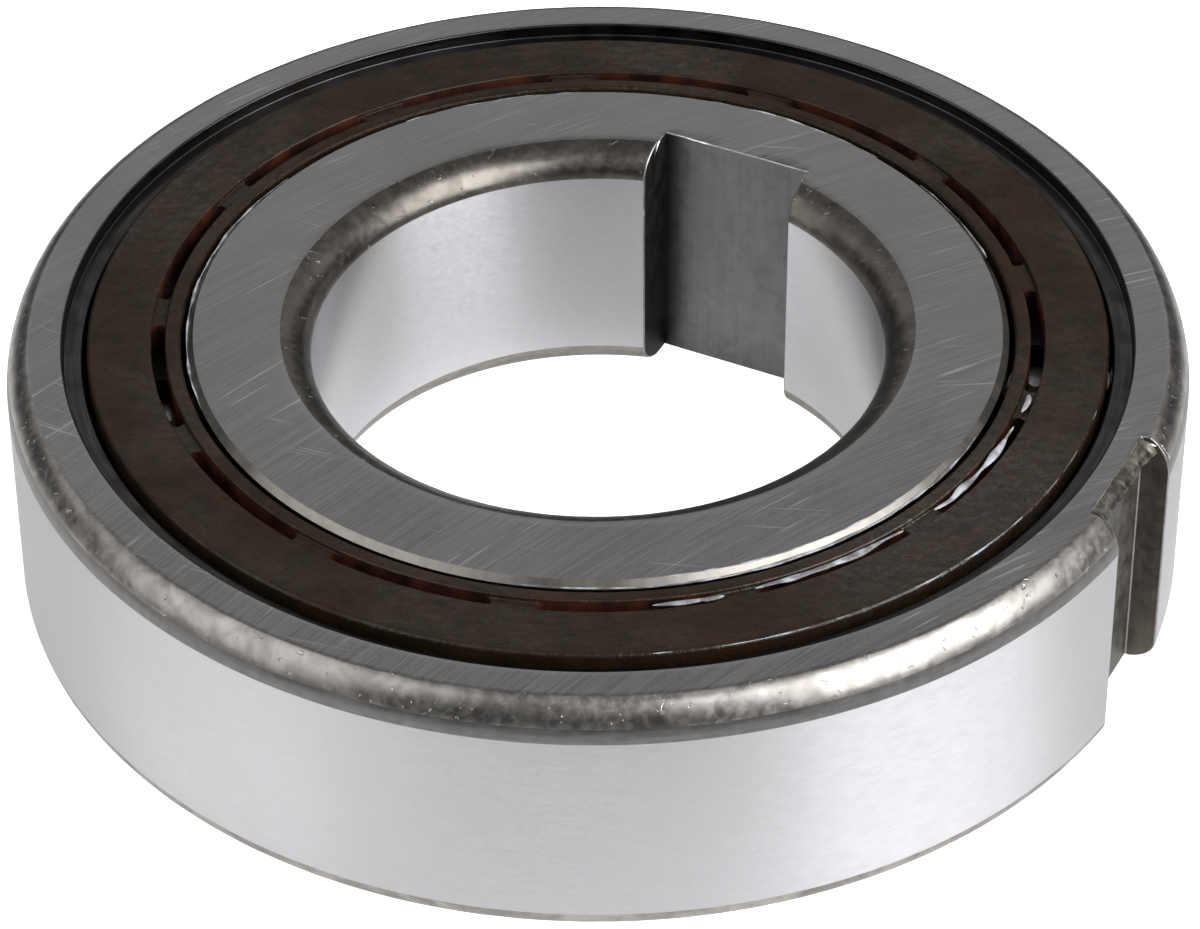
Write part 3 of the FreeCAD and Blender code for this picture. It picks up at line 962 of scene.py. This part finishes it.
def build_burrs():
    """The torn edges that broaching left at the upper ends of both keyways."""
    rolled_burr("outer_keyway_burr", "outer_ring", smeared_steel())
    bright = rolling_steel("bright burr", 0.12, (0.85, 0.84, 0.82))
    top = HALF_WIDTH + 0.01
    lip = OUTER_KEY_FLOOR
    flank = OUTER_KEY_HALF
    first_seed = 40
    torn = {
        "lip_edge": ((lip, -flank + 0.2, top + 0.03), (lip, flank - 0.4, top + 0.05), 0.035),
        "lip_tip": ((lip + 0.05, flank - 0.5, top + 0.02), (lip + 1.0, flank - 0.2, top - 0.35), 0.09),
        "flank_edge": ((lip + 1.1, flank + 0.02, top - 0.2), (lip + 1.9, flank + 0.02, top - 1.1),
                       0.05),
    }
    for seed, (word, (start, end, size)) in enumerate(torn.items(), first_seed):
        bead(f"outer_keyway_{word}", "outer_ring", bright, straight_path(start, end), size, seed,
             0.8, 1.1)
    floor = BORE_KEY_FLOOR
    half = BORE_KEY_HALF
    bead("bore_keyway_floor_burr", "inner_ring", bright,
         straight_path((-half, floor, top), (half, floor, top)), 0.05, 1, 0.8, 1.2)
    for side, word in ((-1, "left"), (1, "right")):
        bead(f"bore_keyway_wall_burr_{word}", "inner_ring", bright,
             bore_corner_path(side, floor, top), 0.05, 2 + side, 0.8, 1.2)


def build_grease():
    """Grease in the slots, along the inner ring's edge and on the cage's rim."""
    grease = grease_material()
    slot_top = PLATE_TOP - 0.12
    ring_top = HALF_WIDTH - TRACK_CHAMFER * 0.75
    chamfer_top = INNER_TRACK - TRACK_CHAMFER
    rim = PLATE_OUTER - 0.12
    # name, body, radius, height, start and end in degrees, half width, unevenness
    patches = [
        ("grease_slot_near", "cage", SLOT_MIDDLE - 0.1, slot_top, 316, 338, 0.24, 0.5),
        ("grease_slot_right", "cage", SLOT_MIDDLE - 0.08, slot_top, 343.6, 364, 0.22, 0.55),
        ("grease_slot_front", "cage", SLOT_MIDDLE, slot_top, 303, 311, 0.13, 0.6),
        ("grease_dab_right", "cage", SLOT_MIDDLE, slot_top, 367, 371, 0.18, 0.9),
        ("grease_dab_front", "cage", SLOT_MIDDLE + 0.1, PLATE_TOP, 309, 312, 0.2, 0.6),
        ("grease_edge_right", "inner_ring", INNER_TRACK + 0.02, ring_top, 306, 360, 0.1, 0.7),
        ("grease_edge_right_top", "inner_ring", chamfer_top, HALF_WIDTH, 304, 346, 0.045, 1.2),
        ("grease_edge_front", "inner_ring", INNER_TRACK, ring_top, 286, 308, 0.05, 0.9),
        ("grease_edge_left", "inner_ring", INNER_TRACK, ring_top, 168, 226, 0.06, 1.0),
        ("grease_edge_back", "inner_ring", INNER_TRACK, ring_top, 118, 146, 0.09, 0.8),
        ("grease_edge_back_right", "inner_ring", INNER_TRACK, ring_top, 71, 101, 0.07, 0.9),
        ("grease_edge_far", "inner_ring", INNER_TRACK, ring_top, 42, 62, 0.06, 1.0),
        ("grease_rim_right", "cage", rim, PLATE_TOP - 0.08, 330, 372, 0.05, 0.9),
        ("grease_rim_front", "cage", rim, PLATE_TOP - 0.08, 298, 328, 0.035, 1.2),
    ]
    for number, (name, body, radius, height, start, end, size, rough) in enumerate(patches):
        piece = bead(name, body, grease, round_path(radius, height, start, end), size, number,
                     0.55, rough)


# ---------------------------------------------------------------- stage

# The camera: angles in degrees, lengths in millimetres
CAMERA_AZIMUTH = 26.55
CAMERA_ELEVATION = 38.55
CAMERA_ROLL = 0.28
CAMERA_DISTANCE = 321.67
CAMERA_LENS = 150.57
CAMERA_SHIFT = (0.091, 7.296)
SENSOR_WIDTH = 36.0

# Brightness of the studio's walls and ceiling
FAR_WALL = 0.8
LOW_WALL = 0.06
CEILING = 0.22

# Heights at which the brightness changes, as the sine of their elevation
WALL_START = 0.34
FAR_WALL_FULL = 0.47
FAR_WALL_END = 0.57
FAR_CEILING = 0.67
NEAR_CEILING = 0.6

# Where the studio's near side gives way to its far side, as a cosine
FAR_SIDE_SPAN = (-0.2, 0.5)

# Azimuth and elevation in degrees, distance and size in metres, power in watts
SOFTBOXES = {
    "right softbox": (-31, 33, 0.9, (0.75, 1.0), 11.3),
    "left softbox": (201, 34, 1.0, (0.85, 1.35), 4.5),
}


def toward(azimuth, elevation):
    """Direction to a point seen from the centre; azimuth 0 is on the camera's right."""
    turn = math.radians(azimuth + CAMERA_AZIMUTH)
    rise = math.radians(elevation)
    return Vector((math.cos(turn) * math.cos(rise), math.sin(turn) * math.cos(rise), math.sin(rise)))


def set_camera():
    """A long lens, a little rolled, aimed beside the centre of the bearing's lower side."""
    back = toward(-90, CAMERA_ELEVATION)
    right = toward(0, 0)
    up = back.cross(right)
    roll = math.radians(CAMERA_ROLL)
    image_right = right * math.cos(roll) - up * math.sin(roll)
    image_up = right * math.sin(roll) + up * math.cos(roll)
    target = toward(0, 0) * CAMERA_SHIFT[0] + toward(90, 0) * CAMERA_SHIFT[1]
    target.z = -HALF_WIDTH
    data = bpy.data.cameras.new("camera")
    data.lens = CAMERA_LENS
    data.sensor_width = SENSOR_WIDTH
    data.clip_start = 0.01
    camera = bpy.data.objects.new("camera", data)
    turned = Matrix((image_right, image_up, back)).transposed().to_4x4()
    camera.matrix_world = Matrix.Translation((target + back * CAMERA_DISTANCE) * MM) @ turned
    bpy.context.scene.collection.objects.link(camera)
    bpy.context.scene.camera = camera


def softbox(name, azimuth, elevation, distance, size, power):
    """A rectangular area light aimed at the object."""
    data = bpy.data.lights.new(name, "AREA")
    data.shape = "RECTANGLE"
    data.size, data.size_y = size
    data.energy = power
    light = bpy.data.objects.new(name, data)
    place = toward(azimuth, elevation)
    light.location = place * distance
    light.rotation_euler = place.to_track_quat("Z", "Y").to_euler()
    bpy.context.scene.collection.objects.link(light)


def set_world():
    """A studio dark low down, with a pale band part way up its far wall, dim overhead."""
    world = bpy.data.worlds.new("studio")
    bpy.context.scene.world = world
    world.use_nodes = True
    tree = world.node_tree

    def node(kind, **settings):
        made = tree.nodes.new(kind)
        for key, value in settings.items():
            setattr(made, key, value)
        return made

    def slope(value, low, high, to_low, to_high):
        made = node("ShaderNodeMapRange", interpolation_type="SMOOTHSTEP")
        for socket, number in zip(made.inputs, (value, low, high, to_low, to_high)):
            if isinstance(number, bpy.types.NodeSocket):
                tree.links.new(number, socket)
            else:
                socket.default_value = number
        return made.outputs[0]

    direction = node("ShaderNodeTexCoord").outputs["Generated"]
    split = node("ShaderNodeSeparateXYZ")
    tree.links.new(direction, split.inputs[0])
    away = node("ShaderNodeVectorMath", operation="DOT_PRODUCT")
    tree.links.new(direction, away.inputs[0])
    away.inputs[1].default_value = toward(90, 0)
    height = split.outputs["Z"]
    near = slope(height, WALL_START, NEAR_CEILING, LOW_WALL, CEILING)
    band = slope(height, WALL_START, FAR_WALL_FULL, LOW_WALL, FAR_WALL)
    far = slope(height, FAR_WALL_END, FAR_CEILING, band, CEILING)
    level = slope(away.outputs["Value"], *FAR_SIDE_SPAN, near, far)
    tree.links.new(level, tree.nodes["Background"].inputs["Color"])


def set_floor():
    """The table, just below the bearing."""
    build = bmesh.new()
    half = FLOOR_HALF_SIDE
    corners = [(-half, -half), (half, -half), (half, half), (-half, half)]
    level = -(HALF_WIDTH + FLOOR_GAP)
    build.faces.new([build.verts.new(Vector((x, y, level)) * MM) for x, y in corners])
    data = mesh_from(build, "floor")
    floor = bpy.data.objects.new("floor", data)
    bpy.context.scene.collection.objects.link(floor)
    floor.data.materials.append(floor_material())


def main():
    core = dress_frame()
    build_rings()
    build_cage(core)
    build_burrs()
    build_grease()
    set_floor()
    set_world()
    for name, setting in SOFTBOXES.items():
        softbox(name, *setting)
    set_camera()
    bpy.context.scene.view_settings.view_transform = "Standard"


main()
